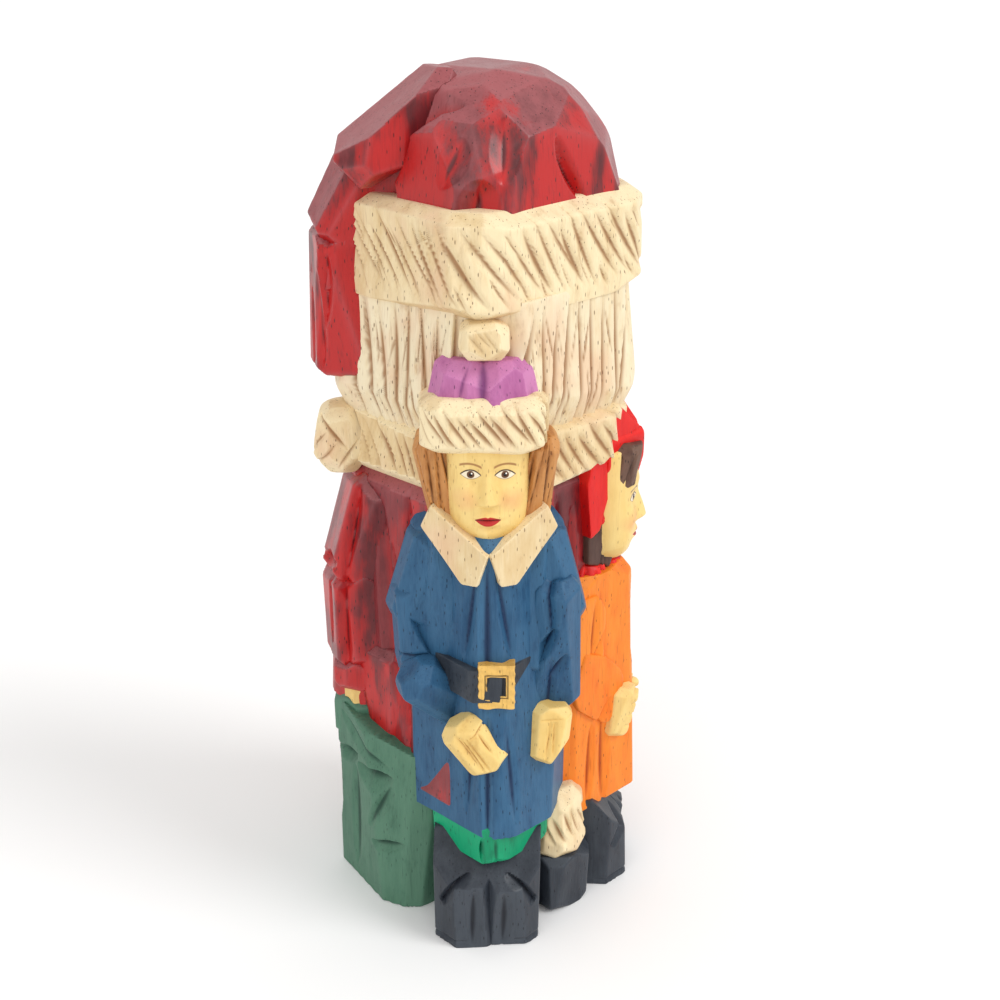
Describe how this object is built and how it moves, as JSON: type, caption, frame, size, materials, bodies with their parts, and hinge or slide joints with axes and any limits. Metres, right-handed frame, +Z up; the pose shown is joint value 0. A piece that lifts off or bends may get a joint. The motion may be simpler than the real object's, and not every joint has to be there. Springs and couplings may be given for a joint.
{
  "type": "carved santa figurine",
  "caption": "Whittled and painted santa group on a square block footprint: santa with children at two corners and a toy sack at a third; stands on its flat underside.",
  "frame": {"origin": "centre of the underside of the block, at the level of the table", "axes": "+Z up through the hat; -Y towards the corner with the blue-coated child, which is the pictured side; santa faces +Y; +X towards the orange-coated child"},
  "size_m": [0.1006, 0.0977, 0.258],
  "materials": {
    "carved_wood": "whittled and hand painted in stained, slightly glossy red, cream, blue, orange, green, violet and black over open-pored wood"
  },
  "bodies": {
    "root": {"santa_carving": "carved_wood"}
  },
  "joints": []
}
